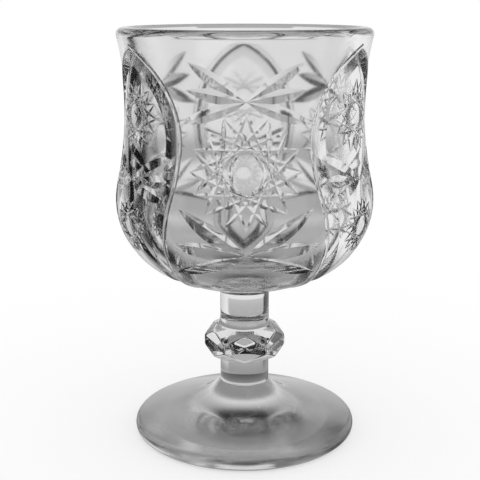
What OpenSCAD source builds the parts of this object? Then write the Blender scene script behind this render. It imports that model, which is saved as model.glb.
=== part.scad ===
// Pressed-glass water goblet: a bowl with mitre-cut star, fan and arch panels on a stem
// with a six-sided knop and a spread foot.
// Millimetres, +Z up, origin at the centre of the foot's underside, a star panel towards -Y.

/* [Bowl] */
// Height of the bowl from its seat on the stem to the lip
bowl_h = 87; // [85:0.5:90]
// Outside diameter at the lip
rim_d = 84.2; // [82:0.2:87]
// How far the waist is drawn in from the lip, on the radius
waist_draw = 2.45; // [2:0.05:3]
// Height of the waist above the seat
waist_h = 64; // [62:0.5:66]
// How far the belly swells out past the waist, on the radius
belly_swell = 3.75; // [3:0.05:4.5]
// Height of the belly above the seat
belly_h = 30; // [29:0.25:31]
// Radius of the belly curve
belly_arc = 27.5; // [26:0.25:28.5]
// Wall thickness at the waist and lip
wall_t = 5.3; // [4.5:0.1:6]
// Radius of the lip's outer edge
lip_r = 0.6; // [0.4:0.05:1]
// Radius of the lip's inner edge
lip_in_r = 1.2; // [0.6:0.05:1.8]
// Thickness of the glass under the hollow
floor_t = 6.5; // [5.5:0.1:7.5]
// How far the hollow narrows from the waist down to its corner, on the radius
hollow_draft = 0.25; // [0.05:0.05:1]
// Radius of the hollow's corner
hollow_arc = 21; // [19:0.5:23]
// Radius of the hollow's dished floor
floor_arc = 60; // [55:1:70]

/* [Star panels] */
// Diameter of the large star, tip to tip
star_d = 35.4; // [32:0.2:36]
// Height of the large star's centre above the seat
star_h = 46.8; // [46:0.1:47.5]
// Height of the upper fan's centre above the seat
upper_fan_h = 68; // [67.5:0.1:70]
// Length of an upper fan's leaf
upper_leaf_l = 21.4; // [18:0.2:22]
// Width of an upper fan's leaf
upper_leaf_w = 4.2; // [3:0.1:4.6]
// Height of the lower fan's centre above the seat
lower_fan_h = 20.8; // [20:0.1:22.2]
// Length of a lower fan's leaf
lower_leaf_l = 25.2; // [22:0.2:26]
// Width of a lower fan's leaf
lower_leaf_w = 5.2; // [4:0.1:5.6]

/* [Arch panels] */
// Width of an arch panel at its widest, along the wall
arch_w = 40.8; // [39:0.2:42]
// Height of the widest point above the seat
arch_h = 51; // [50:0.5:52.5]
// Length along the wall from the widest point up to the apex
arch_rise = 32.2; // [31:0.2:33]
// Length along the wall from the seat up to the lower tip
arch_tip_gap = 4.8; // [4.2:0.1:8]
// Width of the mitred border
border_w = 4.4; // [3.4:0.1:5]
// Distance of the border's deepest line from its outer edge
border_keel_w = 1.4; // [1:0.1:2]
// Depth of the border at that line
border_t = 1; // [0.7:0.05:1.3]
// Width of the bead along the border's outer edge
bead_w = 1.7; // [1.3:0.1:2]
// Height of the bead over the wall
bead_t = 0.35; // [0.2:0.05:0.5]
// Diameter of the star under the arch
arch_star_d = 23.4; // [20:0.2:24]
// Height of that star's centre above the seat
arch_star_h = 60.2; // [60:0.1:61]
// Diameter of the star in the tail of the panel
tail_star_d = 19.5; // [17:0.2:20.5]
// Height of that star's centre above the seat
tail_star_h = 25.2; // [25:0.1:26]
// Height of the middle fan's centre above the seat
arch_fan_h = 40; // [39.5:0.1:40.5]
// Length of a middle fan's leaf
arch_leaf_l = 20.2; // [18:0.2:20.6]
// Width of a middle fan's leaf
arch_leaf_w = 4.6; // [3.6:0.1:5]

/* [Star cuts] */
// Depth of a star's grooves
star_groove_t = 0.6; // [0.5:0.05:0.9]
// Depth of the points left standing between the grooves
star_point_t = 0.15; // [0.12:0.01:0.25]

/* [Stem] */
// Diameter of the stem
stem_d = 17; // [16:0.1:17.4]
// Length of the stem above the knop
upper_stem_l = 14.8; // [11:0.1:18]
// Length of the stem below the knop
lower_stem_l = 8.3; // [6:0.1:14]
// Height of the cove that widens the stem to the bowl's seat
cove_h = 4; // [3.5:0.1:5]
// How far that cove spreads, on the radius
cove_spread = 3.5; // [2.5:0.1:4]
// Radius of the cove between the stem and the knop's upper facets
knop_cove_r = 4; // [2:0.1:5]
// Knop width across its upright flats
knop_af = 24.8; // [22:0.1:28]
// Length of the knop's upright edges
knop_edge_l = 3.4; // [2.5:0.1:5]
// Slope of the knop's upper facets
knop_top_slope = 43.5; // [40:0.5:50]
// Slope of the knop's lower facets
knop_under_slope = 37; // [34:0.5:44]

/* [Foot] */
// Diameter of the foot
foot_d = 77.6; // [72:0.2:86]
// Height of the foot up to the stem
foot_h = 17.8; // [16.5:0.1:19]
// Radius of the rounded edge
foot_edge_r = 2.5; // [2:0.1:3]
// Slope of the foot's spread
foot_slope = 16; // [13:0.5:17]
// Radius of the sweep from the spread up to the stem
foot_sweep_r = 26; // [20:0.5:32]
// Width of the ring that the goblet rests on
foot_ring_w = 7.5; // [5:0.1:10]
// Height of the hollow under the foot
foot_hollow_h = 2.2; // [1.5:0.1:3]

/* [Hidden] */
$fn = 120;
glass = [0.86, 0.89, 0.9, 0.55];

// Counts and angles of the pattern
panel_pairs = 3;
panel_turn = 360 / panel_pairs;
front = -90;
upper_leaf_angles = [33, 10, -18];
lower_leaf_angles = [34, 6, -22];
arch_leaf_angles = [26, 5, -14];
star_tips = 16;
chord_skip = 6;
half_step = 180 / star_tips;
radian = 180 / PI;

// Cutters stand this far out of the glass
cut_out = 0.6;
// Height of a cutter's roof over the glass
cut_roof = 3;
// How far the two sides of an arch border cross at its tips
tip_cross = 0.4;
// How deep the bead is rooted in the wall
bead_root = 0.3;
bead_steps = 4;
// How far a star's outer slopes run past its outline
star_skirt = 0.5;
// Half axes of the plain oval in a star, of the star's inner circle
oval_shares = [0.74, 0.9];

// Heights where the pieces meet
lower_stem_z = foot_h;
knop_z = lower_stem_z + lower_stem_l;
stem_r = stem_d / 2;
knop_flat_r = knop_af / 2;
knop_sides = 6;
knop_turn = 360 / knop_sides;
knop_corner_r = knop_flat_r / cos(knop_turn / 2);
knop_under_h = (knop_corner_r - stem_r) * tan(knop_under_slope);
knop_cove_h = knop_cove_r * cos(knop_top_slope);
knop_top_r = stem_r + knop_cove_r * (1 - sin(knop_top_slope));
knop_top_h = (knop_corner_r - knop_top_r) * tan(knop_top_slope);
knop_h = knop_under_h + knop_edge_l + knop_top_h;
upper_stem_z = knop_z + knop_h;
bowl_z = upper_stem_z + upper_stem_l;

// Outer wall of the bowl: base arc, belly arc and two waist arcs, each tangent to the next
seat_r = stem_r + cove_spread;
rim_r = rim_d / 2;
waist_r = rim_r - waist_draw;
belly_r = waist_r + belly_swell;
lip_z = bowl_h - lip_r;
belly_cr = belly_r - belly_arc;
flare_arc = (pow(lip_z - waist_h, 2) + pow(waist_draw, 2)) / (2 * waist_draw);
waist_in = waist_r - belly_cr;
waist_up = waist_h - belly_h;
waist_arc = (pow(waist_in, 2) + pow(waist_up, 2) - pow(belly_arc, 2)) / (2 * belly_swell);
turn_a = atan2(waist_up, waist_in + waist_arc);
base_k = (pow(belly_cr, 2) + pow(belly_h, 2) - pow(seat_r, 2) - pow(belly_arc, 2)) / 2;
base_q = pow(belly_h, 2) - pow(belly_arc, 2);
base_root = sqrt(pow(base_k * belly_h, 2) - base_q * (pow(base_k, 2) - pow(belly_arc * seat_r, 2)));
base_cz = (base_k * belly_h + base_root) / base_q;
base_arc = sqrt(pow(seat_r, 2) + pow(base_cz, 2));
heel_a = atan2(belly_h - base_cz, belly_cr);
seat_a = atan2(-base_cz, seat_r);

// Wall lengths measured along the meridian, upwards from the belly
m_turn = belly_arc * turn_a / radian;
m_waist = m_turn + waist_arc * turn_a / radian;
m_lip = m_waist + flare_arc * asin((lip_z - waist_h) / flare_arc) / radian;
m_heel = belly_arc * heel_a / radian;
m_seat = m_heel + base_arc * (seat_a - heel_a) / radian;
wall_steps = 30;

// Hollow of the bowl
hollow_cr = waist_r - wall_t - hollow_draft - hollow_arc;
floor_cz = floor_t + floor_arc;
hollow_cz = floor_cz - sqrt(pow(floor_arc - hollow_arc, 2) - pow(hollow_cr, 2));
hollow_heel_a = atan2(hollow_cz - floor_cz, hollow_cr);

// Points on an arc about c, from angle a to angle b, in n steps
function arc(c, r, a, b, n) =
    [for (i = [0:n]) let (turn = a + (b - a) * i / n) c + r * [cos(turn), sin(turn)]];

// Outer wall at the length m: radius, height above the seat, and tilt of its normal
function wall(m) =
    m > m_waist ? let (a = (m - m_waist) / flare_arc * radian)
        [waist_r + flare_arc * (1 - cos(a)), waist_h + flare_arc * sin(a), -a]
    : m > m_turn ? let (a = (m_waist - m) / waist_arc * radian)
        [waist_r + waist_arc * (1 - cos(a)), waist_h - waist_arc * sin(a), a]
    : m > m_heel ? let (a = m / belly_arc * radian)
        [belly_cr + belly_arc * cos(a), belly_h + belly_arc * sin(a), a]
    : let (a = heel_a + (m - m_heel) / base_arc * radian)
        [base_arc * cos(a), base_cz + base_arc * sin(a), a];

// Curvature of the wall along its meridian
function wall_bend(m) =
    m > m_waist ? -1 / flare_arc : m > m_turn ? -1 / waist_arc : m > m_heel ? 1 / belly_arc : 1 / base_arc;

// Wall length at a height above the seat, from the belly curve up
function length_at(h) =
    h > waist_h ? m_waist + flare_arc * asin((h - waist_h) / flare_arc) / radian
    : h > belly_h + belly_arc * sin(turn_a) ? m_waist - waist_arc * asin((waist_h - h) / waist_arc) / radian
    : belly_arc * asin((h - belly_h) / belly_arc) / radian;

// Point over the wall: s along the girth and m up the meridian, lifted by t off the glass
function over_wall(s, m, t) =
    let (w = wall(m), a = s / w[0] * radian, r = w[0] + t * cos(w[2]))
    [r * cos(a), r * sin(a), w[1] + t * sin(w[2])];

// One panel of each kind after another round the bowl
module round_the_bowl(turn) {
    for (i = [0:panel_pairs - 1]) rotate([0, 0, front + turn + i * panel_turn]) children();
}

// Straight V cut whose run-out on the round wall makes a pointed leaf
module leaf(angle, length, width, m) {
    half = length / 2;
    mid = m + half * sin(angle);
    w = wall(mid);
    bend = pow(cos(angle), 2) * cos(w[2]) / w[0] + pow(sin(angle), 2) * wall_bend(mid);
    depth = pow(half, 2) * bend / 2;
    flank = width / 2 * (depth + cut_out) / depth;
    rotate([0, 0, half * cos(angle) / w[0] * radian])
        translate([w[0], 0, w[1]])
            rotate([0, -w[2], 0])
                rotate([angle, 0, 0])
                    rotate([90, 0, 0])
                        linear_extrude(length + width, center = true)
                            polygon([[-depth, 0], [cut_out, -flank], [cut_out, flank]]);
}

// Fan of leaves to both sides of its centre
module fan(angles, length, width, h) {
    for (angle = angles) {
        leaf(angle, length, width, length_at(h));
        mirror([0, 1, 0]) leaf(angle, length, width, length_at(h));
    }
}

// Relief of a star whose tips are joined by straight mitre grooves, with points left between them
module star(d, h) {
    m = length_at(h);
    inner_r = d / 2 * cos(chord_skip * half_step);
    n = 2 * star_tips;
    function ring_r(j) = inner_r / cos(j * half_step);
    function at(r, k, t) = over_wall(r * cos(k * half_step), m + r * sin(k * half_step), t);
    function ring(j, t) = [for (i = [0:star_tips - 1]) at(ring_r(j), 2 * i + j % 2, t)];
    function crown(j) = [for (i = [0:star_tips - 1])
        at((ring_r(j + 1) + ring_r(j)) / 2, 2 * i + (j + 1) % 2, -star_point_t)];
    outline = [for (k = [0:n - 1]) at(ring_r(chord_skip - k % 2) + star_skirt, k, cut_out)];
    oval = [for (k = [0:n - 1]) over_wall(inner_r * oval_shares[0] * cos(k * half_step),
        m + inner_r * oval_shares[1] * sin(k * half_step), -star_point_t)];
    tips = ring(chord_skip, -star_point_t);
    grooves = [for (j = [chord_skip - 1:-1:2]) each ring(j, -star_groove_t)];
    crowns = [for (j = [chord_skip - 1:-1:3]) each crown(j)];
    points = concat(outline, tips, grooves, crowns, oval,
        [over_wall(0, m, cut_roof), over_wall(0, m, -star_point_t)]);
    first_tip = n;
    first_crown = first_tip + star_tips * (chord_skip - 1);
    first_oval = first_crown + star_tips * (chord_skip - 3);
    roof = first_oval + n;
    function node_of(j, k) = first_tip + star_tips * (chord_skip - j) + floor((k + n) % n / 2);
    function rim_of(k) = node_of(k % 2 == 0 ? chord_skip : chord_skip - 1, k);
    function inner_of(k) = node_of(k % 2 == 0 ? 2 : 3, k);
    faces = concat(
        [for (k = [0:n - 1]) [roof, (k + 1) % n, k]],
        [for (k = [0:n - 1]) let (l = (k + 1) % n) each [[k, l, rim_of(l)], [k, rim_of(l), rim_of(k)]]],
        [for (j = [chord_skip - 1:-1:3], i = [0:star_tips - 1])
            let (k = 2 * i + (j + 1) % 2, c = first_crown + star_tips * (chord_skip - 1 - j) + i,
                corners = [node_of(j + 1, k), node_of(j, k + 1), node_of(j - 1, k), node_of(j, k + n - 1)])
            each [for (q = [0:3]) [c, corners[q], corners[(q + 1) % 4]]]],
        [for (k = [0:n - 1]) let (l = (k + 1) % n)
            each [[inner_of(k), inner_of(l), first_oval + l], [inner_of(k), first_oval + l, first_oval + k]]],
        [for (k = [0:n - 1]) [roof + 1, first_oval + k, first_oval + (k + 1) % n]]);
    polyhedron(points, faces);
}

// One side of an arch panel's outline, a pointed arch above its widest line and a long tail below,
// swept with a section of distances inside the outline and heights over the glass
module arch_side(section) {
    half = arch_w / 2;
    m = length_at(arch_h);
    arch_tail = m - m_seat - arch_tip_gap;
    top_arc = (pow(half, 2) + pow(arch_rise, 2)) / (2 * half);
    tail_arc = (pow(half, 2) + pow(arch_tail, 2)) / (2 * half);
    top_steps = 9;
    tail_steps = 14;
    function bow(r, inset, n, sign) = let (c = half - r, end = acos((-c - tip_cross) / (r - inset)))
        [for (i = [0:n]) [c + (r - inset) * cos(end * i / n), sign * (r - inset) * sin(end * i / n)]];
    function line(inset, t) = let (tail = bow(tail_arc, inset, tail_steps, -1))
        [for (p = concat([for (i = [tail_steps:-1:1]) tail[i]], bow(top_arc, inset, top_steps, 1)))
            over_wall(p[0], m + p[1], t)];
    lines = len(section);
    n = top_steps + tail_steps + 1;
    faces = concat([[for (q = [0:lines - 1]) q * n], [for (q = [lines:-1:1]) q * n - 1]],
        [for (k = [0:n - 2], q = [0:lines - 1]) let (a = q * n + k, b = (q + 1) % lines * n + k)
            each [[a, a + 1, b + 1], [a, b + 1, b]]]);
    polyhedron([for (p = section) each line(p[0], p[1])], faces);
}

// Both sides of the outline, crossing at its tips
module arch(section) {
    arch_side(section);
    mirror([0, 1, 0]) arch_side(section);
}

// Cut of the mitred border, deepest near its outer edge
module arch_border() {
    arch([[-cut_out * border_keel_w / border_t, cut_out],
        [border_keel_w, -border_t],
        [border_w + cut_out * (border_w - border_keel_w) / border_t, cut_out],
        [border_w / 2, cut_roof]]);
}

// Rounded bead left standing along the border
module arch_bead() {
    arch([for (i = [0:bead_steps]) let (a = 180 * i / bead_steps)
        [-bead_w * (1 - cos(a)) / 2, (bead_t + bead_root) * sin(a) - bead_root]]);
}

// Blank of the bowl, before the pattern is cut
module bowl_blank() {
    step = (m_lip - m_seat) / wall_steps;
    outside = [for (i = [0:wall_steps]) let (w = wall(m_seat + i * step)) [w[0], w[1]]];
    flare_c = [waist_r + flare_arc, waist_h];
    inside_arc = flare_arc + wall_t;
    lip_in_z = bowl_h - lip_in_r;
    lip_a = 180 - asin((lip_in_z - waist_h) / inside_arc);
    lip_in_x = flare_c[0] + inside_arc * cos(lip_a) + lip_in_r;
    rotate_extrude()
        polygon(concat([[0, 0]], outside,
            arc([rim_r - lip_r, lip_z], lip_r, 0, 90, 5),
            arc([lip_in_x, lip_in_z], lip_in_r, 90, 180, 6),
            arc(flare_c, inside_arc, lip_a, 180, 6),
            arc([hollow_cr, hollow_cz], hollow_arc, 0, hollow_heel_a, 10),
            arc([0, floor_cz], floor_arc, hollow_heel_a, -90, 5)));
}

module bowl() {
    color(glass) translate([0, 0, bowl_z]) difference() {
        union() {
            bowl_blank();
            round_the_bowl(panel_turn / 2) arch_bead();
        }
        round_the_bowl(0) {
            star(star_d, star_h);
            fan(upper_leaf_angles, upper_leaf_l, upper_leaf_w, upper_fan_h);
            fan(lower_leaf_angles, lower_leaf_l, lower_leaf_w, lower_fan_h);
        }
        round_the_bowl(panel_turn / 2) {
            arch_border();
            star(arch_star_d, arch_star_h);
            star(tail_star_d, tail_star_h);
            fan(arch_leaf_angles, arch_leaf_l, arch_leaf_w, arch_fan_h);
        }
    }
}

module upper_stem() {
    cove_r = (pow(cove_h, 2) + pow(cove_spread, 2)) / (2 * cove_spread);
    cove_a = 2 * atan2(cove_spread, cove_h);
    color(glass) translate([0, 0, upper_stem_z]) rotate_extrude()
        polygon(concat([[0, 0]],
            arc([stem_r + knop_cove_r, knop_cove_h], knop_cove_r, 270 - knop_top_slope, 180, 6),
            arc([stem_r + cove_r, upper_stem_l - cove_h], cove_r, 180, 180 - cove_a, 8),
            [[0, upper_stem_l]]));
}

// Space over a sloping facet whose lower edge crosses the knop's corner
module knop_facet(slope) {
    translate([knop_corner_r, 0, knop_edge_l / 2])
        rotate([0, slope, 0])
            translate([-knop_af, -knop_af, 0]) cube([2 * knop_af, 2 * knop_af, knop_af]);
}

module knop() {
    mid_z = knop_under_h + knop_edge_l / 2;
    collar_r = knop_corner_r;
    color(glass) translate([0, 0, knop_z]) difference() {
        intersection() {
            cylinder(h = knop_h, r = knop_corner_r, $fn = knop_sides);
            rotate_extrude() polygon([[0, 0], [stem_r, 0],
                [collar_r, knop_under_h / 2], [collar_r, knop_h - knop_top_h / 2],
                [knop_top_r, knop_h], [0, knop_h]]);
        }
        translate([0, 0, mid_z]) for (i = [0:knop_sides - 1]) rotate([0, 0, i * knop_turn]) {
            knop_facet(knop_top_slope);
            mirror([0, 0, 1]) knop_facet(knop_under_slope);
        }
    }
}

module lower_stem() {
    color(glass) translate([0, 0, lower_stem_z]) cylinder(h = lower_stem_l, d = stem_d);
}

module foot() {
    foot_r = foot_d / 2;
    ring_r = foot_r - foot_edge_r - foot_ring_w;
    dome_r = (pow(ring_r, 2) + pow(foot_hollow_h, 2)) / (2 * foot_hollow_h);
    dome_a = asin(ring_r / dome_r);
    edge_c = [foot_r - foot_edge_r, foot_edge_r];
    normal = [sin(foot_slope), cos(foot_slope)];
    along = [-normal[1], normal[0]];
    shoulder = edge_c + foot_edge_r * normal;
    joint = [stem_r, foot_h];
    rise = (joint - shoulder) * normal;
    run = (joint - shoulder) * along - sqrt(2 * foot_sweep_r * rise - pow(rise, 2));
    sweep_c = shoulder + run * along + foot_sweep_r * normal;
    joint_a = atan2(joint[1] - sweep_c[1], joint[0] - sweep_c[0]);
    color(glass) rotate_extrude()
        polygon(concat(
            arc([0, foot_hollow_h - dome_r], dome_r, 90, 90 - dome_a, 6),
            arc(edge_c, foot_edge_r, -90, 90 - foot_slope, 10),
            arc(sweep_c, foot_sweep_r, -90 - foot_slope, joint_a - 360 * (joint_a > 0 ? 1 : 0), 8),
            [[0, foot_h]]));
}

bowl();
upper_stem();
knop();
lower_stem();
foot();
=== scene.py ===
import math

import bmesh
import bpy
import numpy as np
from bpy.props import FloatProperty, FloatVectorProperty, IntProperty, PointerProperty, StringProperty
from mathutils import Matrix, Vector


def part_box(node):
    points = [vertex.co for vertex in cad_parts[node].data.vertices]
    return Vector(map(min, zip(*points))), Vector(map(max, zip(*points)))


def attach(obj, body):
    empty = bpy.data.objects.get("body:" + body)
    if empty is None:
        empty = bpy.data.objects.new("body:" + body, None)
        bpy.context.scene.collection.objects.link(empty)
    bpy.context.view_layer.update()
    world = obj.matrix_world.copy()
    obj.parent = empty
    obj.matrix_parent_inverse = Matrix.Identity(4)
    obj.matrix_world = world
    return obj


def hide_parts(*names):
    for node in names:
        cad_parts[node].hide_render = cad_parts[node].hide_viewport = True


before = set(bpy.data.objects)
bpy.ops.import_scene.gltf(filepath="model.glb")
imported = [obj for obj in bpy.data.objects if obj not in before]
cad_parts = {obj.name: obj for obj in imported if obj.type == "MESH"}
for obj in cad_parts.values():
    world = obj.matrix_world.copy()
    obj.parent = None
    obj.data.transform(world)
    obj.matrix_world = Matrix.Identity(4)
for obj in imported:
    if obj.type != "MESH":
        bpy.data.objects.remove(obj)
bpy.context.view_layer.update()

BOWL_LOW, BOWL_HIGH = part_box("bowl")
KNOP_LOW, KNOP_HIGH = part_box("knop")
FOOT_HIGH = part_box("foot")[1]
STEM_LOW, STEM_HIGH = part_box("lower_stem")
SEAT_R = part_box("upper_stem")[1].x

bl_info = {
    "name": "Mitre-cut water goblet",
    "version": (1, 0, 0),
    "blender": (4, 5, 0),
    "location": "View3D > Sidebar > Goblet",
    "description": "Builds a pressed water goblet with star, fan and arch panels around its solids",
    "category": "Add Mesh",
}

MM = 0.001

# A star panel faces the front, -Y
FRONT = -math.pi / 2


def linear(code):
    """Linear RGBA of an sRGB hex colour."""
    parts = [int(code[i:i + 2], 16) / 255 for i in (1, 3, 5)]
    return tuple(c / 12.92 if c <= 0.04045 else ((c + 0.055) / 1.055) ** 2.4 for c in parts) + (1.0,)


def length(name, text, metres):
    """A length that a user may change."""
    return FloatProperty(name=name, description=text, default=metres, min=0.0, precision=5, unit="LENGTH")


def lengths(name, text, metres):
    """A few lengths of one fan."""
    return FloatVectorProperty(name=name, description=text, size=len(metres), default=metres,
                               precision=5, subtype="XYZ_LENGTH")


def angle(name, text, degrees):
    """An angle that a user may change."""
    return FloatProperty(name=name, description=text, default=math.radians(degrees), subtype="ANGLE")


def angles(name, text, degrees):
    """A few angles of one fan."""
    return FloatVectorProperty(name=name, description=text, size=len(degrees),
                               default=[math.radians(a) for a in degrees], subtype="EULER")


def hex_colour(name, text, code):
    """A colour that a user may change, as sRGB hex."""
    return StringProperty(name=name, description=text + ", sRGB hex", default=code)


class GobletBowl(bpy.types.PropertyGroup):
    """Sizes of the bowl's blank."""

    rim_d: length("Rim diameter", "Outside diameter at the lip", 84.2 * MM)
    waist_draw: length("Waist", "How far the waist is drawn in from the lip, on the radius", 2.45 * MM)
    waist_h: length("Waist height", "Height of the waist above the seat", 64 * MM)
    belly_swell: length("Belly", "How far the belly swells past the waist, on the radius", 3.62 * MM)
    belly_h: length("Belly height", "Height of the belly above the seat", 30 * MM)
    belly_arc: length("Belly curve", "Radius of the belly curve", 27.5 * MM)
    wall_t: length("Wall", "Wall thickness at the lip and the waist", 5.3 * MM)
    lip_flat_w: length("Lip flat", "Width of the flat between the lip's two fire-polished edges", 0.6 * MM)
    floor_t: length("Floor", "Thickness of the glass under the hollow", 6.5 * MM)
    hollow_draft: length("Hollow draft", "How far the hollow narrows below the waist, on the radius",
                         0.25 * MM)
    hollow_arc: length("Hollow corner", "Radius of the hollow's corner", 21 * MM)
    floor_arc: length("Hollow floor", "Radius of the hollow's dished floor", 60 * MM)


class GobletPattern(bpy.types.PropertyGroup):
    """Sizes of the mitre-cut panels, lengths measured along the wall."""

    repeats: IntProperty(name="Panel pairs", description="Star and arch panels round the bowl",
                         default=3, min=1)
    star_d: length("Star", "Diameter of the large star", 35.4 * MM)
    star_h: length("Star height", "Height of the large star above the seat", 45.4 * MM)
    arch_star_d: length("Arch star", "Diameter of the star under the arch", 23.4 * MM)
    arch_star_h: length("Arch star height", "Height of that star above the seat", 60.2 * MM)
    tail_star_d: length("Tail star", "Diameter of the star in the arch panel's tail", 19.5 * MM)
    tail_star_h: length("Tail star height", "Height of that star above the seat", 25.2 * MM)
    groove_w: length("Star groove", "Width of a star's grooves at their middle", 2.0 * MM)
    groove_t: length("Star groove depth", "Depth of a star's grooves at their middle", 0.6 * MM)
    oval_w: length("Button width", "Width of the large star's oval button", 9.4 * MM)
    oval_l: length("Button height", "Height of the large star's oval button", 13.0 * MM)
    upper_fan_h: length("Upper fan height", "Centre of the upper fan above the seat", 66.4 * MM)
    upper_fan: angles("Upper fan angles", "Slope of the upper fan's leaves", (32.6, 9.6, -18.5))
    upper_fan_l: lengths("Upper fan leaves", "Lengths of the upper fan's leaves",
                         (21.4 * MM, 18.8 * MM, 22 * MM))
    upper_fan_w: length("Upper fan width", "Width of an upper fan's leaf", 4.2 * MM)
    lower_fan_h: length("Lower fan height", "Centre of the lower fan above the seat", 20.0 * MM)
    lower_fan: angles("Lower fan angles", "Slope of the lower fan's leaves", (34, 6.5, -22))
    lower_fan_l: lengths("Lower fan leaves", "Lengths of the lower fan's leaves",
                         (25.7 * MM, 24.6 * MM, 25 * MM))
    lower_fan_w: length("Lower fan width", "Width of a lower fan's leaf", 5.2 * MM)
    arch_fan_h: length("Arch fan height", "Centre of the arch panel's fan above the seat", 40.0 * MM)
    arch_fan: angles("Arch fan angles", "Slope of the arch fan's leaves", (26, 5, -14))
    arch_fan_l: lengths("Arch fan leaves", "Lengths of the arch fan's leaves",
                        (22.8 * MM, 20 * MM, 19.5 * MM))
    arch_fan_w: length("Arch fan width", "Width of an arch fan's leaf", 4.6 * MM)
    leaf_slope: angle("Leaf slope", "Slope of a leaf's flanks", 33.7)
    arch_w: length("Arch", "Width of an arch panel at its widest", 40.8 * MM)
    arch_h: length("Arch height", "Height of its widest line above the seat", 51.0 * MM)
    arch_rise: length("Arch rise", "From the widest line up to the apex", 29.8 * MM)
    arch_tip_gap: length("Arch tip", "From the seat up to the lower tip", 4.8 * MM)
    border_w: length("Border", "Width of the mitred border of an arch", 4.4 * MM)
    border_keel_w: length("Border keel", "From the border's outer edge to its deepest line", 1.0 * MM)
    border_t: length("Border depth", "Depth of the border's deepest line", 1.6 * MM)
    bead_w: length("Bead", "Width of the rounded bead along the border", 1.7 * MM)
    bead_t: length("Bead height", "How far the bead stands off the wall", 0.33 * MM)


class GobletStem(bpy.types.PropertyGroup):
    """Sizes of the stem and its knop."""

    stem_d: length("Stem", "Diameter of the stem", 2 * STEM_HIGH.x)
    cove_h: length("Cove", "Height of the cove under the bowl", 4 * MM)
    knop_cove_r: length("Knop cove", "Radius of the cove on the knop's upper facets", 4 * MM)
    knop_af: length("Knop flats", "Knop width across its upright flats", 24.8 * MM)
    knop_top: angle("Upper slope", "Slope of the knop's upper facets", 43.5)
    knop_under: angle("Lower slope", "Slope of the knop's lower facets", 37)
    knop_crisp: FloatProperty(name="Crispness", description="How crisp the knop's polished edges are",
                              default=60)


class GobletFoot(bpy.types.PropertyGroup):
    """Sizes of the foot."""

    foot_d: length("Foot", "Diameter of the foot", 2 * FOOT_HIGH.x)
    edge_r: length("Edge", "Radius of the rounded edge", 2.5 * MM)
    slope: angle("Slope", "Slope of the spread", 16)
    sweep_r: length("Sweep", "Radius of the sweep up to the stem", 26 * MM)
    ring_w: length("Ring", "Width of the ring that it rests on", 7.5 * MM)
    hollow_h: length("Hollow", "Height of the hollow beneath", 2.2 * MM)


class GobletGlass(bpy.types.PropertyGroup):
    """Look of the glass."""

    tint: hex_colour("Tint", "Colour of the clear glass", "#fdfdfd")
    ior: FloatProperty(name="IOR", description="Refractive index of clear table glass", default=1.52)
    ripple: length("Ripple", "Spacing of the mould's faint ripple", 9 * MM)


class GobletStage(bpy.types.PropertyGroup):
    """Camera, floor and studio."""

    camera_back: length("Distance", "Camera in front of the axis", 326.1 * MM)
    camera_up: length("Height", "Camera above the floor", 149.0 * MM)
    camera_down: angle("Pitch", "Camera looks down by", 13.93)
    camera_aside: angle("Yaw", "Camera turns aside by", 0.28)
    camera_round: angle("Orbit", "Camera moves round the goblet by", -0.7)
    lens: FloatProperty(name="Lens", description="Focal length on the sensor", default=73.09,
                        subtype="DISTANCE_CAMERA")
    floor_r: length("Floor", "Radius of the pale floor", 600 * MM)
    floor_paper: hex_colour("Floor paper", "Colour of the floor's paper", "#bbbbbb")
    # Painted shade: the grey glow that the glass sees on the floor under the foot, in place of its shadow
    floor_shade: hex_colour("Floor shade", "Shaded floor under the foot", "#969696")


def arc(centre, radius, start, end, steps):
    """Points (r, z) on an arc, angles in radians."""
    a = np.linspace(start, end, steps + 1)
    return np.column_stack([centre[0] + radius * np.cos(a), centre[1] + radius * np.sin(a)])


def put_object(name, data):
    """A new object of the scene, at the origin."""
    obj = bpy.data.objects.new(name, data)
    bpy.context.scene.collection.objects.link(obj)
    return obj


def put_mesh(name, points, faces):
    """A new object with an outward-facing mesh."""
    mesh = bpy.data.meshes.new(name)
    mesh.from_pydata([tuple(p) for p in points], [], faces)
    made = bmesh.new()
    made.from_mesh(mesh)
    bmesh.ops.recalc_face_normals(made, faces=made.faces)
    made.to_mesh(mesh)
    made.free()
    return put_object(name, mesh)


def ring_solid(name, radii, heights, ends):
    """Closed solid of rings, a row of radii and a height for each, closed on the axis at both ends."""
    steps = radii.shape[1]
    turn = np.linspace(0, 2 * math.pi, steps, endpoint=False)
    levels = np.outer(heights, np.ones(steps))
    rings = np.stack([radii * np.cos(turn), radii * np.sin(turn), levels], axis=-1).reshape(-1, 3)
    first, last = [0, 0, ends[0]], [0, 0, ends[1]]
    low, high = len(rings), len(rings) + 1
    top = (len(radii) - 1) * steps
    faces = []
    for j in range(steps):
        k = (j + 1) % steps
        faces.append((low, k, j))
        faces.extend((i + j, i + k, i + steps + k, i + steps + j) for i in range(0, top, steps))
        faces.append((high, top + j, top + k))
    return put_mesh(name, np.vstack([rings, first, last]), faces)


def revolve(name, outline, steps):
    """Closed solid of an (r, z) outline that starts and ends on the axis."""
    radii = np.outer(outline[1:-1, 0], np.ones(steps))
    return ring_solid(name, radii, outline[1:-1, 1], outline[[0, -1], 1])


def loft(name, lines, loop=False):
    """Closed solid between lines of equally many points, capped at its ends unless the lines loop."""
    lines = np.asarray(lines)
    sides, n = lines.shape[:2]
    faces = [] if loop else [[q * n for q in range(sides)], [q * n + n - 1 for q in range(sides)]]
    for q in range(sides):
        a, b = q * n, (q + 1) % sides * n
        faces.extend([a + k, a + (k + 1) % n, b + (k + 1) % n, b + k] for k in range(n if loop else n - 1))
    return put_mesh(name, lines.reshape(-1, 3), faces)


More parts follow.
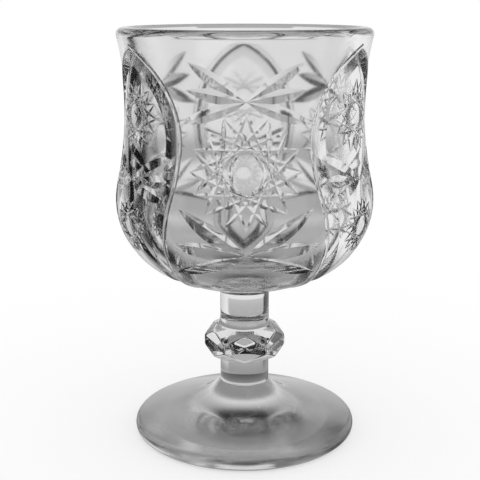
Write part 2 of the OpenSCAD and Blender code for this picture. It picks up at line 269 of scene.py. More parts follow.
class Wall:
    """Outer wall of the bowl: base, belly, waist and flare arcs, each tangent to the next.

    Lengths m run along the meridian, upwards from the belly, and heights above the seat."""

    def __init__(self, p):
        self.height = BOWL_HIGH.z - BOWL_LOW.z
        self.rim_r = p.rim_d / 2
        self.waist_r, self.waist_h = self.rim_r - p.waist_draw, p.waist_h
        self.belly_h, self.belly_arc = p.belly_h, p.belly_arc
        self.belly_cr = self.waist_r + p.belly_swell - p.belly_arc
        self.lip_r = (p.wall_t - p.lip_flat_w) / 2
        self.lip_h = self.height - self.lip_r
        self.flare_arc = ((self.lip_h - self.waist_h) ** 2 + p.waist_draw ** 2) / (2 * p.waist_draw)
        across, up = self.waist_r - self.belly_cr, self.waist_h - self.belly_h
        self.waist_arc = (across ** 2 + up ** 2 - self.belly_arc ** 2) / (2 * p.belly_swell)
        self.turn_a = math.atan2(up, across + self.waist_arc)
        k = (self.belly_cr ** 2 + self.belly_h ** 2 - SEAT_R ** 2 - self.belly_arc ** 2) / 2
        q = self.belly_h ** 2 - self.belly_arc ** 2
        root = math.sqrt((k * self.belly_h) ** 2 - q * (k ** 2 - (self.belly_arc * SEAT_R) ** 2))
        self.base_h = (k * self.belly_h + root) / q
        self.base_arc = math.hypot(SEAT_R, self.base_h)
        self.heel_a = math.atan2(self.belly_h - self.base_h, self.belly_cr)
        self.m_turn = self.belly_arc * self.turn_a
        self.m_waist = self.m_turn + self.waist_arc * self.turn_a
        self.m_lip = self.m_waist + self.flare_arc * math.asin((self.lip_h - self.waist_h) / self.flare_arc)
        self.m_heel = self.belly_arc * self.heel_a
        self.m_seat = self.m_heel + self.base_arc * (math.atan2(-self.base_h, SEAT_R) - self.heel_a)
        self.h_turn = self.belly_h + self.belly_arc * math.sin(self.turn_a)
        self.h_heel = self.belly_h + self.belly_arc * math.sin(self.heel_a)

    def radius(self, zones, flare, waist, belly, base):
        """Radius of the wall, from how far each zone's arc has turned."""
        return np.select(zones, [self.waist_r + self.flare_arc * (1 - np.cos(flare)),
                                 self.waist_r + self.waist_arc * (1 - np.cos(waist)),
                                 self.belly_cr + self.belly_arc * np.cos(belly)],
                         self.base_arc * np.cos(base))

    def at(self, m):
        """Radius and height of the wall at the lengths m."""
        m = np.asarray(m, float)
        zones = [m > self.m_waist, m > self.m_turn, m > self.m_heel]
        flare, waist = (m - self.m_waist) / self.flare_arc, (self.m_waist - m) / self.waist_arc
        belly, base = m / self.belly_arc, self.heel_a + (m - self.m_heel) / self.base_arc
        h = np.select(zones, [self.waist_h + self.flare_arc * np.sin(flare),
                              self.waist_h - self.waist_arc * np.sin(waist),
                              self.belly_h + self.belly_arc * np.sin(belly)],
                      self.base_h + self.base_arc * np.sin(base))
        return np.stack([self.radius(zones, flare, waist, belly, base), h], axis=-1)

    def length_at(self, h):
        """Length along the meridian at a height on or above the belly curve."""
        if h > self.waist_h:
            return self.m_waist + self.flare_arc * math.asin((h - self.waist_h) / self.flare_arc)
        if h > self.h_turn:
            return self.m_waist - self.waist_arc * math.asin((self.waist_h - h) / self.waist_arc)
        return self.belly_arc * math.asin((h - self.belly_h) / self.belly_arc)

    def radius_and_tilt(self, h):
        """Radius of the wall at the heights h, and the upward tilt of its normal."""
        zones = [h > self.waist_h, h > self.h_turn, h > self.h_heel]
        flare = np.arcsin(np.clip((h - self.waist_h) / self.flare_arc, -1, 1))
        waist = np.arcsin(np.clip((self.waist_h - h) / self.waist_arc, -1, 1))
        belly = np.arcsin(np.clip((h - self.belly_h) / self.belly_arc, -1, 1))
        base = np.arcsin(np.clip((h - self.base_h) / self.base_arc, -1, 1))
        tilt = np.select(zones, [-flare, waist, belly], base)
        return self.radius(zones, flare, waist, belly, base), tilt


def bowl_blank(p, wall):
    """The pressed bowl before its pattern is cut."""
    wall_points, lip_steps, flare_steps, corner_steps, floor_steps, turn_steps = 110, 12, 16, 24, 12, 240
    outside = wall.at(np.linspace(wall.m_seat, wall.m_lip, wall_points))
    inside_arc = wall.flare_arc + p.wall_t
    centre = (wall.waist_r + wall.flare_arc, wall.waist_h)
    lip_a = math.pi - math.asin((wall.lip_h - wall.waist_h) / inside_arc)
    mouth = (centre[0] + inside_arc * math.cos(lip_a) + wall.lip_r, wall.lip_h)
    brim = (wall.rim_r - wall.lip_r, wall.lip_h)
    lip = np.vstack([arc(brim, wall.lip_r, 0, math.pi / 2, lip_steps)[1:],
                     arc(mouth, wall.lip_r, math.pi / 2, math.pi, lip_steps)])
    corner_r = wall.waist_r - p.wall_t - p.hollow_draft - p.hollow_arc
    floor_h = p.floor_t + p.floor_arc
    corner_h = floor_h - math.sqrt((p.floor_arc - p.hollow_arc) ** 2 - corner_r ** 2)
    heel = math.atan2(corner_h - floor_h, corner_r)
    inside = np.vstack([arc(centre, inside_arc, lip_a, math.pi, flare_steps)[1:],
                        arc((corner_r, corner_h), p.hollow_arc, 0, heel, corner_steps),
                        arc((0, floor_h), p.floor_arc, heel, -math.pi / 2, floor_steps)[1:]])
    outline = np.vstack([[0, 0], outside, lip, inside])
    outline[-1, 0] = 0
    return revolve("bowl_blank", outline + [0, BOWL_LOW.z], turn_steps)


def unit_cut(name, power):
    """V cut of half length, half width and depth 1, running out of the glass at both ends; a higher
    power keeps its full depth for longer."""
    lift, steps = 0.3, 16
    reach = (1 + lift / 2) ** (1 / power)
    turn = np.linspace(-math.pi / 2, math.pi / 2, steps + 1)
    u = reach * np.sin(turn)
    depth = 1 - np.abs(u) ** power
    keel = np.column_stack([u, 0 * u, -depth])
    left = np.column_stack([u, depth + lift, 0 * u + lift])
    return loft(name, [keel, left, left * [1, -1, 1]])


def star_marks(p, d, m, panel):
    """Places of a star's straight grooves, each joining two of its sixteen tips."""
    tips, skip = 16, 6
    half = math.pi / tips
    inner, reach = d / 2 * math.cos(skip * half), d / 2 * math.sin(skip * half)
    thin = d / p.star_d
    size = (reach, p.groove_w / 2 * thin, p.groove_t * thin)
    return [((inner * math.cos(a), m + inner * math.sin(a), 0), a + math.pi / 2, size, panel)
            for a in (2 * half * i for i in range(tips))]


def fan_marks(p, fan, m, panel):
    """Places of a fan's leaves, to both sides of its centre."""
    half = getattr(p, fan + "_w") / 2
    deep = half * math.tan(p.leaf_slope)
    leaves = list(zip(getattr(p, fan), getattr(p, fan + "_l")))
    return [((side * l / 2 * math.cos(a), m + l / 2 * math.sin(a), 0), side * a, (l / 2, half, deep), panel)
            for side in (-1, 1) for a, l in leaves]


def point_cloud(name, marks):
    """Mesh points that carry the turn, size and panel of each cut."""
    places, turns, sizes, panels = zip(*marks)
    mesh = bpy.data.meshes.new(name)
    mesh.from_pydata(places, [], [])
    turn = mesh.attributes.new("turn", "FLOAT_VECTOR", "POINT")
    turn.data.foreach_set("vector", np.ravel([(0, 0, a) for a in turns]))
    size = mesh.attributes.new("size", "FLOAT_VECTOR", "POINT")
    size.data.foreach_set("vector", np.ravel(sizes))
    panel = mesh.attributes.new("panel", "FLOAT", "POINT")
    panel.data.foreach_set("value", panels)
    return put_object(name, mesh)


def contour(p, wall, inset, t):
    """Right side of an arch panel, drawn in by inset and lifted by t, from its lower tip to its apex."""
    tail_steps, top_steps = 36, 22
    cross = 0.4 * MM
    half, m = p.arch_w / 2, wall.length_at(p.arch_h)

    def bow(rise, sign, steps):
        r = (half ** 2 + rise ** 2) / (2 * half)
        a = np.linspace(0, math.acos((r - half - cross) / (r - inset)), steps + 1)
        return np.column_stack([half - r + (r - inset) * np.cos(a), m + sign * (r - inset) * np.sin(a),
                                np.full(steps + 1, t)])
    tail = bow(m - wall.m_seat - p.arch_tip_gap, -1, tail_steps)
    return np.vstack([tail[:0:-1], bow(p.arch_rise, 1, top_steps)])


def both_sides(name, lines):
    """A lofted side of an arch and its mirror image, both flat."""
    lines = np.asarray(lines)
    return [loft(name, lines), loft(name + "_mirror", lines * [-1, 1, 1])]


def arch_border(p, wall):
    """Flat cutters of the mitred border, a short outer flank and a long inner one."""
    lift, cap = 0.12 * MM, 0.48 * MM
    rest = p.border_w - p.border_keel_w
    grow = lift / p.border_t
    return both_sides("border", [
        contour(p, wall, -p.border_keel_w * grow, lift),
        contour(p, wall, p.border_keel_w, -p.border_t),
        contour(p, wall, p.border_w + rest * grow, lift),
        contour(p, wall, p.border_w / 2, cap)])


def arch_bead(p, wall):
    """Flat solids of the rounded bead outside the border."""
    root, lines = 0.3 * MM, 9
    return both_sides("bead", [
        contour(p, wall, -p.bead_w / 2 * (1 - math.cos(a)), (p.bead_t + root) * math.sin(a) - root)
        for a in np.linspace(0, math.pi, lines)])


def oval_ring(p, wall):
    """Flat cutter of the mitred ring round the large star's button."""
    half, deep, lift, steps = 0.55 * MM, 0.4 * MM, 0.15 * MM, 48
    wide = half * (1 + lift / deep)
    a = np.linspace(0, 2 * math.pi, steps, endpoint=False)
    m = wall.length_at(p.star_h)

    def ring(grow, t):
        return np.column_stack([(p.oval_w / 2 + grow) * np.cos(a), m + (p.oval_l / 2 + grow) * np.sin(a),
                                np.full(steps, t)])
    return [loft("oval_ring", [ring(0, -deep), ring(wide, lift), ring(-wide, lift)], loop=True)]


def merge(name, groups):
    """One object from groups of flat ones, with the turn of each group's panel on its points."""
    made = bmesh.new()
    panels = []
    for objects, panel in groups:
        for obj in objects:
            made.from_mesh(obj.data)
            panels += [panel] * len(obj.data.vertices)
            bpy.data.objects.remove(obj)
    mesh = bpy.data.meshes.new(name)
    made.to_mesh(mesh)
    made.free()
    mesh.attributes.new("panel", "FLOAT", "POINT").data.foreach_set("value", panels)
    return put_object(name, mesh)


def meridian_curve(wall):
    """The wall's meridian as a curve in the XZ plane, for the cuts to follow."""
    count = 400
    points = wall.at(np.linspace(wall.m_seat, wall.m_lip, count))
    curve = bpy.data.curves.new("meridian", "CURVE")
    curve.dimensions = "3D"
    spline = curve.splines.new("POLY")
    spline.points.add(count - 1)
    for point, (r, h) in zip(spline.points, points):
        point.co = (r, 0, h + BOWL_LOW.z, 1)
    return put_object("meridian", curve)


def add(tree, kind, settings, *inputs, **named):
    """Adds a node with its settings, and links or values for its inputs, in order or by name; gives
    its outputs."""
    node = tree.nodes.new(kind)
    for key, value in settings.items():
        setattr(node, key, value)
    sockets = [s for s in node.inputs if s.enabled]
    given = list(zip(sockets, inputs))
    given += [(next(s for s in sockets if s.name.replace(" ", "_") == key), v) for key, v in named.items()]
    for socket, value in given:
        for one in value if isinstance(value, list) else [value]:
            if isinstance(one, bpy.types.NodeSocket):
                tree.links.new(one, socket)
            else:
                socket.default_value = one
    return node.outputs


# Kinds and settings of nodes that are used again and again
MATH, SPLIT, RANGE, MIX = "ShaderNodeMath", "ShaderNodeSeparateXYZ", "ShaderNodeMapRange", "ShaderNodeMix"
PLUS, MINUS = {"operation": "ADD"}, {"operation": "SUBTRACT"}
TIMES, OVER = {"operation": "MULTIPLY"}, {"operation": "DIVIDE"}
ABSOLUTE, LARGER = {"operation": "ABSOLUTE"}, {"operation": "MAXIMUM"}
SMOOTH = {"interpolation_type": "SMOOTHSTEP"}
NUMBER, VECTOR = {"data_type": "FLOAT"}, {"data_type": "FLOAT_VECTOR"}


def wrap_on_wall(tree, flat, meridian, belly):
    """Bends flat geometry, x along the girth, y up the meridian, z off the glass, onto the wall."""
    position = add(tree, "GeometryNodeInputPosition", {})[0]
    here = add(tree, SPLIT, {}, position)
    along = add(tree, MATH, PLUS, here["Y"], belly)[0]
    sample = add(tree, "GeometryNodeSampleCurve", {"mode": "LENGTH"}, Curves=meridian, Length=along)
    place = add(tree, SPLIT, {}, sample["Position"])
    way = add(tree, SPLIT, {}, sample["Tangent"])
    panel = add(tree, "GeometryNodeInputNamedAttribute", NUMBER, Name="panel")["Attribute"]
    bend = add(tree, MATH, OVER, here["X"], place["X"])[0]
    turn = add(tree, MATH, PLUS, bend, panel)[0]
    off_axis = add(tree, MATH, TIMES, here["Z"], way["Z"])[0]
    out = add(tree, MATH, PLUS, place["X"], off_axis)[0]
    drop = add(tree, MATH, TIMES, here["Z"], way["X"])[0]
    up = add(tree, MATH, MINUS, place["Z"], drop)[0]
    cosine = add(tree, MATH, {"operation": "COSINE"}, turn)[0]
    sine = add(tree, MATH, {"operation": "SINE"}, turn)[0]
    x = add(tree, MATH, TIMES, out, cosine)[0]
    y = add(tree, MATH, TIMES, out, sine)[0]
    point = add(tree, "ShaderNodeCombineXYZ", {}, x, y, up)[0]
    return add(tree, "GeometryNodeSetPosition", {}, Geometry=flat, Position=point)[0]


def round_the_bowl(tree, geometry, repeats):
    """Each closed island of the geometry as an instance, repeated round the axis."""
    island = add(tree, "GeometryNodeInputMeshIsland", {})["Island Index"]
    split = add(tree, "GeometryNodeSplitToInstances", {"domain": "FACE"},
                Geometry=geometry, Group_ID=island)
    copies = add(tree, "GeometryNodeDuplicateElements", {"domain": "INSTANCE"},
                 Geometry=split["Instances"], Amount=repeats)
    share = add(tree, MATH, OVER, copies["Duplicate Index"], repeats)[0]
    turn = add(tree, MATH, TIMES, share, 2 * math.pi)[0]
    about_axis = add(tree, "ShaderNodeCombineXYZ", {}, Z=turn)[0]
    return add(tree, "GeometryNodeRotateInstances", {}, Instances=copies["Geometry"], Rotation=about_axis,
               Local_Space=False)[0]


CUTTERS = ("Groove", "Groove marks", "Leaf", "Leaf marks", "Borders", "Beads", "Meridian")


def cutting_tree():
    """Geometry Nodes tree that presses the beads on and cuts the pattern into a blank."""
    tree = bpy.data.node_groups.new("mitre_cutting", "GeometryNodeTree")
    inputs = {"Geometry": "NodeSocketGeometry", **{name: "NodeSocketObject" for name in CUTTERS},
              "Belly length": "NodeSocketFloat", "Panel pairs": "NodeSocketInt",
              "Glass": "NodeSocketMaterial"}
    for name, kind in inputs.items():
        tree.interface.new_socket(name, in_out="INPUT", socket_type=kind)
    tree.interface.new_socket("Geometry", in_out="OUTPUT", socket_type="NodeSocketGeometry")
    given = add(tree, "NodeGroupInput", {})
    shape = {k: add(tree, "GeometryNodeObjectInfo", {}, Object=given[k])["Geometry"] for k in CUTTERS}
    turn = add(tree, "GeometryNodeInputNamedAttribute", VECTOR, Name="turn")["Attribute"]
    size = add(tree, "GeometryNodeInputNamedAttribute", VECTOR, Name="size")["Attribute"]
    euler = add(tree, "FunctionNodeEulerToRotation", {}, Euler=turn)[0]
    cuts = [add(tree, "GeometryNodeInstanceOnPoints", {}, Points=shape[k + " marks"], Instance=shape[k],
                Rotation=euler, Scale=size)[0] for k in ("Groove", "Leaf")]
    cuts = [add(tree, "GeometryNodeRealizeInstances", {}, Geometry=c)[0] for c in cuts]
    flat = add(tree, "GeometryNodeJoinGeometry", {}, Geometry=[*cuts, shape["Borders"]])[0]
    cuts, beads = (round_the_bowl(tree, wrap_on_wall(tree, g, shape["Meridian"], given["Belly length"]),
                                  given["Panel pairs"]) for g in (flat, shape["Beads"]))
    raised = add(tree, "GeometryNodeMeshBoolean", {"operation": "UNION", "solver": "MANIFOLD"},
                 Mesh=[given["Geometry"], beads])["Mesh"]
    cut = add(tree, "GeometryNodeMeshBoolean", {"operation": "DIFFERENCE", "solver": "MANIFOLD"},
              Mesh_1=raised, Mesh_2=cuts)["Mesh"]
    whole = add(tree, "GeometryNodeRealizeInstances", {}, Geometry=cut)[0]
    done = add(tree, "GeometryNodeSetMaterial", {}, Geometry=whole, Material=given["Glass"])[0]
    add(tree, "NodeGroupOutput", {}, Geometry=done)
    return tree


def cutters(p, wall):
    """The flat cutters and beads, the places of the cuts and the meridian that they are bent along."""
    side = FRONT + math.pi / p.repeats
    here = wall.length_at
    grooves = (star_marks(p, p.star_d, here(p.star_h), FRONT)
               + star_marks(p, p.arch_star_d, here(p.arch_star_h), side)
               + star_marks(p, p.tail_star_d, here(p.tail_star_h), side))
    leaves = (fan_marks(p, "upper_fan", here(p.upper_fan_h), FRONT)
              + fan_marks(p, "lower_fan", here(p.lower_fan_h), FRONT)
              + fan_marks(p, "arch_fan", here(p.arch_fan_h), side))
    groove_power, leaf_power = 5, 2
    return {"Groove": unit_cut("groove", groove_power),
            "Groove marks": point_cloud("groove_marks", grooves),
            "Leaf": unit_cut("leaf", leaf_power),
            "Leaf marks": point_cloud("leaf_marks", leaves),
            "Borders": merge("borders", [(arch_border(p, wall), side), (oval_ring(p, wall), FRONT)]),
            "Beads": merge("beads", [(arch_bead(p, wall), side)]),
            "Meridian": meridian_curve(wall)}


def cut_bowl(blank, parts, wall, repeats):
    """Runs the cutting tree on the blank and bakes the result into a plain mesh."""
    tree = cutting_tree()
    modifier = blank.modifiers.new("mitre_cutting", "NODES")
    modifier.node_group = tree
    values = {**parts, "Belly length": -wall.m_seat, "Panel pairs": repeats,
              "Glass": bpy.data.materials["fire_polished_pressed_glass"]}
    for item in tree.interface.items_tree:
        if item.in_out == "INPUT" and item.name in values:
            modifier[item.identifier] = values[item.name]
    depsgraph = bpy.context.evaluated_depsgraph_get()
    mesh = bpy.data.meshes.new_from_object(blank.evaluated_get(depsgraph), depsgraph=depsgraph)
    blank.modifiers.remove(modifier)
    for part in (blank, *parts.values()):
        bpy.data.objects.remove(part)
    mesh.name = "glass_bowl"
    return put_object("glass_bowl", mesh)


def polish_wall(mesh, wall):
    """True wall normals on what is left of the outer wall, so that the smooth glass refracts smoothly."""
    off_wall, slant = 0.02 * MM, math.radians(6)
    points = np.empty(len(mesh.vertices) * 3)
    mesh.vertices.foreach_get("co", points)
    points = points.reshape(-1, 3)
    girth = np.hypot(points[:, 0], points[:, 1])
    r, tilt = wall.radius_and_tilt(points[:, 2] - BOWL_LOW.z)
    near = np.abs(girth - r) * np.cos(tilt) < off_wall
    spin = np.arctan2(points[:, 1], points[:, 0])
    normals = np.column_stack([np.cos(tilt) * np.cos(spin), np.cos(tilt) * np.sin(spin), np.sin(tilt)])
    custom = np.zeros((len(mesh.loops), 3))
    for face in mesh.polygons:
        ids = list(face.vertices)
        if near[ids].all() and normals[ids].mean(0) @ face.normal > math.cos(slant):
            custom[face.loop_start:face.loop_start + face.loop_total] = normals[ids]
    mesh.normals_split_custom_set(custom.tolist())


def give_finish(obj, name, chosen):
    """A finish of their own for the faces that are chosen."""
    mesh = obj.data
    mesh.materials.append(bpy.data.materials[name])
    for face in mesh.polygons:
        if chosen(face):
            face.material_index = len(mesh.materials) - 1


def finish_piece(obj, seals):
    """Smooth shading with crisp cut edges, seal faces at the given heights, a parent empty for the root
    body, and the CAD part hidden.
    """
    crisp_edge, off_seal, level = math.radians(14), 0.002 * MM, 0.99

    def sealed(face):
        return abs(face.normal.z) > level and any(abs(face.center.z - z) < off_seal for z in seals)
    mesh = obj.data
    mesh.materials.clear()
    mesh.materials.append(bpy.data.materials["fire_polished_pressed_glass"])
    mesh.polygons.foreach_set("material_index", [0] * len(mesh.polygons))
    mesh.polygons.foreach_set("use_smooth", [True] * len(mesh.polygons))
    mesh.set_sharp_from_angle(angle=crisp_edge)
    give_finish(obj, "hot_sealed_joint", sealed)
    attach(obj, "root")
    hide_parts(obj.name.replace("glass_", ""))
    return obj


def empty_material(name):
    """A new material without nodes yet."""
    material = bpy.data.materials.new(name)
    material.use_nodes = True
    material.node_tree.nodes.clear()
    return material


# Clear table glass by how its surface was made, with its lowest and highest roughness
GLASSES = {
    # Pressed, then fire polished: the flame melts the skin, so wall and cuts have a hard, wet gloss
    "fire_polished_pressed_glass": (0.0, 0.02),
    # Chilled by the plunger: the inside keeps a faint haze, which softens what shows through the bowl
    "plunger_chilled_glass": (0.08, 0.13),
    # Worn by tables: fine rubbing under the foot blurs the floor that shows through it
    "table_worn_glass": (0.12, 0.2),
}


def pressed_glass(look, name):
    """Clear table glass, colourless, whose faint ripple from the mould bends what shows through it."""
    low, high = GLASSES[name]
    tree = empty_material(name).node_tree
    where = add(tree, "ShaderNodeTexCoord", {})["Object"]
    ripple = add(tree, "ShaderNodeTexNoise", {}, Vector=where, Scale=1 / look.ripple, Detail=1.0)[0]
    bump = add(tree, "ShaderNodeBump", {}, Height=ripple, Strength=0.02, Distance=0.4 * MM)[0]
    rough = add(tree, RANGE, {}, Value=ripple, To_Min=low, To_Max=high)[0]
    glass = add(tree, "ShaderNodeBsdfPrincipled", {}, Base_Color=linear(look.tint), Roughness=rough,
                IOR=look.ior, Transmission_Weight=1.0, Normal=bump)[0]
    add(tree, "ShaderNodeOutputMaterial", {}, Surface=glass)


def sealed_joint():
    """Glass pieces sealed hot: no surface is left between them, so light passes straight through."""
    tree = empty_material("hot_sealed_joint").node_tree
    clear = add(tree, "ShaderNodeBsdfTransparent", {})[0]
    add(tree, "ShaderNodeOutputMaterial", {}, Surface=clear)


# Brightness of the bare room, of the light on paper, and of what the camera sees behind the goblet
ROOM, FILL, WHITE = 0.55, 0.9, 1.0

# Cards of the studio: azimuth from straight behind the goblet, half width, lower and upper edge,
# softness, all in degrees, brightness, and whether only light mirrored in the glass shows it
CARDS = (
    ("table", 0, 180, -90, -13, 5, 0.46, False),
    ("table near the foot", 0, 180, -90, -46, 16, 0.12, True),
    ("backdrop", 0, 37, -13, 4, 6, 0.85, False),
    ("backdrop above", 0, 30, 0, 8, 13, 0.85, False),
    ("right wall", 54, 16, -32, 25, 9, 0.88, False),
    ("left flag", -61, 16, -50, 60, 8, 0.006, False),
    ("dark room", 180, 84, -45, 60, 12, 0.012, True),
    ("window", 146, 18, 5, 50, 6, 1.0, False),
    ("ceiling", 0, 180, 38, 120, 16, 0.01, False),
)


def studio_world(scene):
    """White for the camera; a grey room with a white backdrop, a dark flag and a window for the glass."""
    world = bpy.data.worlds.new("studio")
    scene.world = world
    world.use_nodes = True
    tree = world.node_tree
    tree.nodes.clear()
    towards = add(tree, "ShaderNodeTexCoord", {})["Generated"]
    way = add(tree, SPLIT, {}, towards)
    azimuth = add(tree, MATH, {"operation": "ARCTAN2"}, way["X"], way["Y"])[0]
    height = add(tree, MATH, {"operation": "ARCSINE"}, way["Z"])[0]
    path = add(tree, "ShaderNodeLightPath", {})
    any_mirror = 0.5
    turned = add(tree, MATH, {"operation": "GREATER_THAN"}, path["Glossy Depth"], any_mirror)[0]
    value = ROOM
    for _, *degrees, bright, mirrored_only in CARDS:
        centre, half, low, high, soft = (math.radians(d) for d in degrees)
        middle, reach = (low + high) / 2, (high - low) / 2
        off = add(tree, MATH, MINUS, azimuth, centre)[0]
        wrapped = add(tree, MATH, {"operation": "WRAP"}, off, math.pi, -math.pi)[0]
        aside = add(tree, MATH, ABSOLUTE, wrapped)[0]
        across = add(tree, RANGE, SMOOTH, aside, half + soft, half, 0.0, 1.0)[0]
        above = add(tree, MATH, MINUS, height, middle)[0]
        apart = add(tree, MATH, ABSOLUTE, above)[0]
        up = add(tree, RANGE, SMOOTH, apart, reach + soft, reach, 0.0, 1.0)[0]
        mask = add(tree, MATH, TIMES, across, up)[0]
        if mirrored_only:
            mask = add(tree, MATH, TIMES, mask, turned)[0]
        value = add(tree, MIX, NUMBER, mask, value, bright)[0]
    mirrored = add(tree, MATH, LARGER, path["Is Glossy Ray"], path["Is Transmission Ray"])[0]
    lit = add(tree, MIX, NUMBER, mirrored, FILL, value)[0]
    seen = add(tree, MIX, NUMBER, path["Is Camera Ray"], lit, WHITE)[0]
    light = add(tree, "ShaderNodeBackground", {}, linear("#ffffff"), seen)[0]
    add(tree, "ShaderNodeOutputWorld", {}, light)


def studio_floor(p):
    """Pale floor that the camera sees as white, with the goblet's shadow on it, and painted shade under the
    foot for the glass.
    """
    gap, thick, steps = 0.05 * MM, 1 * MM, 96
    outline = np.array([[0, -thick], [p.floor_r, -thick], [p.floor_r, -gap], [0, -gap]])
    floor = revolve("floor", outline, steps)
    # Matt white paper: no gloss and a soft shadow; through the glass, painted shade: a grey glow, darker at
    # its core, stands in for the goblet's shadow under the foot and ends past the foot
    material = empty_material("matt_white_paper")
    glow, core = 0.56, 0.25
    core_r, core_end, foot_edge, shade_end = 6 * MM, 30 * MM, 42 * MM, 75 * MM
    tree = material.node_tree
    path = add(tree, "ShaderNodeLightPath", {})
    paper = add(tree, "ShaderNodeBsdfDiffuse", {}, linear(p.floor_paper))[0]
    lift = add(tree, "ShaderNodeEmission", {}, linear("#ffffff"), glow)[0]
    lifted = add(tree, "ShaderNodeAddShader", {}, paper, lift)[0]
    plain = add(tree, "ShaderNodeMixShader", {}, path["Is Camera Ray"], paper, lifted)[0]
    where = add(tree, "ShaderNodeTexCoord", {})["Object"]
    away = add(tree, "ShaderNodeVectorMath", {"operation": "LENGTH"}, where)["Value"]
    # Painted shade: near the foot, glass rays see a fixed grey glow instead of lit paper, painted darker
    # towards the axis and clear past the foot
    past_foot = add(tree, RANGE, SMOOTH, away, foot_edge, shade_end, 0.0, 1.0)[0]
    painted_dimming = add(tree, RANGE, SMOOTH, away, core_r, core_end, core, 1.0)[0]
    shade = add(tree, "ShaderNodeEmission", {}, linear(p.floor_shade), painted_dimming)[0]
    clear = add(tree, "ShaderNodeBsdfTransparent", {})[0]
    below = add(tree, "ShaderNodeMixShader", {}, past_foot, shade, clear)[0]
    mirrored = add(tree, MATH, LARGER, path["Is Glossy Ray"], path["Is Transmission Ray"])[0]
    shown = add(tree, "ShaderNodeMixShader", {}, mirrored, plain, below)[0]
    add(tree, "ShaderNodeOutputMaterial", {}, shown)
    floor.data.materials.append(material)


class GOBLET_OT_glass(bpy.types.Operator):
    """Makes the glass and the sealed joint"""

    bl_idname = "goblet.glass"
    bl_label = "Glass"

    def execute(self, context):
        for name in GLASSES:
            pressed_glass(context.scene.goblet_glass, name)
        sealed_joint()
        return {"FINISHED"}


class GOBLET_OT_bowl(bpy.types.Operator):
    """Presses the bowl and cuts its star, fan and arch panels"""

    bl_idname = "goblet.bowl"
    bl_label = "Bowl"

    def execute(self, context):
        p = context.scene.goblet_pattern
        wall = Wall(context.scene.goblet_bowl)
        blank = bowl_blank(context.scene.goblet_bowl, wall)
        bowl = cut_bowl(blank, cutters(p, wall), wall, p.repeats)
        inward, brim_r, brim_z = -0.2, wall.rim_r - wall.lip_r, BOWL_LOW.z + wall.lip_h

        def inside(face):
            girth = math.hypot(face.center.x, face.center.y)
            out = face.center.x * face.normal.x + face.center.y * face.normal.y
            return out < inward * girth and girth < brim_r and face.center.z < brim_z
        finish_piece(bowl, [BOWL_LOW.z])
        give_finish(bowl, "plunger_chilled_glass", inside)
        polish_wall(bowl.data, wall)
        return {"FINISHED"}


class GOBLET_OT_stem(bpy.types.Operator):
    """Draws the two lengths of stem"""

    bl_idname = "goblet.stem"
    bl_label = "Stem"

    def execute(self, context):
        p = context.scene.goblet_stem
        cove_steps, knop_cove_steps, turn_steps = 24, 16, 160
        r = p.stem_d / 2
        spread = SEAT_R - r
        cove_r = (p.cove_h ** 2 + spread ** 2) / (2 * spread)
        cove_a = 2 * math.atan2(spread, p.cove_h)
        cove = arc((r + cove_r, BOWL_LOW.z - p.cove_h), cove_r, math.pi, math.pi - cove_a, cove_steps)
        knop_cove_h = KNOP_HIGH.z + p.knop_cove_r * math.cos(p.knop_top)
        knop_cove = arc((r + p.knop_cove_r, knop_cove_h), p.knop_cove_r,
                        1.5 * math.pi - p.knop_top, math.pi, knop_cove_steps)
        upper = np.vstack([[0, KNOP_HIGH.z], knop_cove, cove, [0, BOWL_LOW.z]])
        lower = np.array([[0, STEM_LOW.z], [r, STEM_LOW.z], [r, STEM_HIGH.z], [0, STEM_HIGH.z]])
        for name, outline in (("glass_upper_stem", upper), ("glass_lower_stem", lower)):
            finish_piece(revolve(name, outline, turn_steps), outline[[0, -1], 1])
        return {"FINISHED"}


class GOBLET_OT_knop(bpy.types.Operator):
    """Facets the six-sided knop"""

    bl_idname = "goblet.knop"
    bl_label = "Knop"

    def execute(self, context):
        p = context.scene.goblet_stem
        flats, rings, turn_steps, least = 6, 73, 360, 0.1
        step = 2 * math.pi / flats
        corner = p.knop_af / 2 / math.cos(step / 2)
        low, high = KNOP_LOW.z, KNOP_HIGH.z
        low_r, high_r = p.stem_d / 2, p.stem_d / 2 + p.knop_cove_r * (1 - math.sin(p.knop_top))
        under, top = (corner - low_r) * math.tan(p.knop_under), (corner - high_r) * math.tan(p.knop_top)
        z = np.linspace(low, high, rings)[:, None]
        turn = np.linspace(0, 2 * math.pi, turn_steps, endpoint=False)
        widest = np.interp(z, [low, low + under / 2, high - top / 2, high], [low_r, corner, corner, high_r])
        sides = [np.broadcast_to(widest, (rings, turn_steps))]
        for i in range(flats):
            at_corner = np.maximum(np.cos(turn - i * step), least)
            upright = p.knop_af / 2 / np.maximum(np.cos(turn - (i + 0.5) * step), least)
            sides += [np.broadcast_to(upright, (rings, turn_steps)),
                      (high_r + (high - z) / math.tan(p.knop_top)) / at_corner,
                      (low_r + (z - low) / math.tan(p.knop_under)) / at_corner]
        radii = sum(r ** -p.knop_crisp for r in sides) ** (-1 / p.knop_crisp)
        radii[0], radii[-1] = low_r, high_r
        knop = ring_solid("glass_knop", radii, z[:, 0], (low, high))
        finish_piece(knop, [low, high])
        return {"FINISHED"}


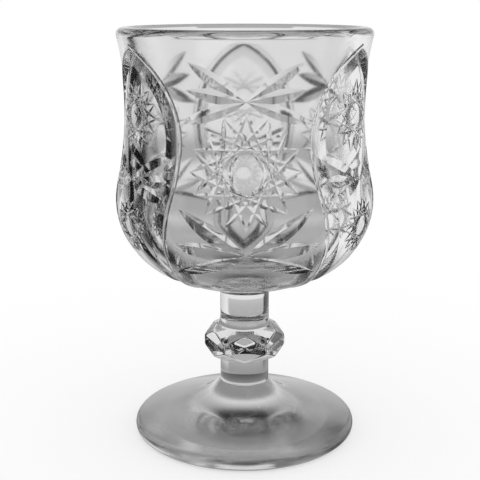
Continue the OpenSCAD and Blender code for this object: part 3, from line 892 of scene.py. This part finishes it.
class GOBLET_OT_foot(bpy.types.Operator):
    """Spreads the foot"""

    bl_idname = "goblet.foot"
    bl_label = "Foot"

    def execute(self, context):
        p = context.scene.goblet_foot
        hollow_steps, edge_steps, sweep_steps, turn_steps, downward = 24, 20, 40, 240, -0.9
        foot_r, stem_r = p.foot_d / 2, context.scene.goblet_stem.stem_d / 2
        ring_r = foot_r - p.edge_r - p.ring_w
        dome_r = (ring_r ** 2 + p.hollow_h ** 2) / (2 * p.hollow_h)
        dome_a = math.asin(ring_r / dome_r)
        normal = np.array([math.sin(p.slope), math.cos(p.slope)])
        along = np.array([-normal[1], normal[0]])
        centre = np.array([foot_r - p.edge_r, p.edge_r])
        joint = np.array([stem_r, FOOT_HIGH.z])
        gap = joint - centre - p.edge_r * normal
        rise, run = gap @ normal, gap @ along
        run -= math.sqrt(2 * p.sweep_r * rise - rise ** 2)
        sweep = centre + (p.edge_r + p.sweep_r) * normal + run * along
        joint_a = math.atan2(joint[1] - sweep[1], joint[0] - sweep[0]) % (2 * math.pi) - 2 * math.pi
        outline = np.vstack([
            arc((0, p.hollow_h - dome_r), dome_r, math.pi / 2, math.pi / 2 - dome_a, hollow_steps),
            arc(centre, p.edge_r, -math.pi / 2, math.pi / 2 - p.slope, edge_steps),
            arc(sweep, p.sweep_r, -math.pi / 2 - p.slope, joint_a, sweep_steps),
            [[0, FOOT_HIGH.z]]])
        outline[0, 0] = 0
        foot = finish_piece(revolve("glass_foot", outline, turn_steps), [FOOT_HIGH.z])
        give_finish(foot, "table_worn_glass", lambda face: face.normal.z < downward)
        return {"FINISHED"}


class GOBLET_OT_stage(bpy.types.Operator):
    """Sets the camera, the floor and the studio"""

    bl_idname = "goblet.stage"
    bl_label = "Stage"

    def execute(self, context):
        scene = context.scene
        p = scene.goblet_stage
        sensor_w, passes, mirrors = 36, 24, 12
        data = bpy.data.cameras.new("camera")
        data.lens, data.sensor_width = p.lens, sensor_w
        camera = put_object("camera", data)
        camera.matrix_world = (Matrix.Rotation(p.camera_round, 4, "Z")
                               @ Matrix.Translation((0, -p.camera_back, p.camera_up))
                               @ Matrix.Rotation(p.camera_aside, 4, "Z")
                               @ Matrix.Rotation(math.pi / 2 - p.camera_down, 4, "X"))
        scene.camera = camera
        scene.view_settings.view_transform = "Standard"
        # Light crosses many glass surfaces here, and a path that ends early would show as black
        scene.cycles.max_bounces = passes
        scene.cycles.transmission_bounces = passes
        scene.cycles.transparent_max_bounces = passes
        scene.cycles.glossy_bounces = mirrors
        studio_world(scene)
        studio_floor(p)
        return {"FINISHED"}


class GOBLET_PT_panel(bpy.types.Panel):
    """Lists the goblet's operators"""

    bl_idname = "GOBLET_PT_panel"
    bl_label = "Water goblet"
    bl_space_type = "VIEW_3D"
    bl_region_type = "UI"
    bl_category = "Goblet"

    def draw(self, context):
        for operator in OPERATORS:
            self.layout.operator(operator.bl_idname)


GROUPS = {"goblet_bowl": GobletBowl, "goblet_pattern": GobletPattern, "goblet_stem": GobletStem,
          "goblet_foot": GobletFoot, "goblet_glass": GobletGlass, "goblet_stage": GobletStage}
OPERATORS = (GOBLET_OT_glass, GOBLET_OT_bowl, GOBLET_OT_stem, GOBLET_OT_knop, GOBLET_OT_foot,
             GOBLET_OT_stage)


def register():
    """Adds the goblet's classes and settings to Blender."""
    for cls in (*GROUPS.values(), *OPERATORS, GOBLET_PT_panel):
        bpy.utils.register_class(cls)
    for name, group in GROUPS.items():
        setattr(bpy.types.Scene, name, PointerProperty(type=group))


def unregister():
    """Takes them out again."""
    for name in GROUPS:
        delattr(bpy.types.Scene, name)
    for cls in (GOBLET_PT_panel, *reversed(OPERATORS), *reversed(GROUPS.values())):
        bpy.utils.unregister_class(cls)


def main():
    """Builds the goblet and its stage."""
    register()
    bpy.ops.goblet.glass()
    bpy.ops.goblet.bowl()
    bpy.ops.goblet.stem()
    bpy.ops.goblet.knop()
    bpy.ops.goblet.foot()
    bpy.ops.goblet.stage()


if __name__ == "__main__":
    main()
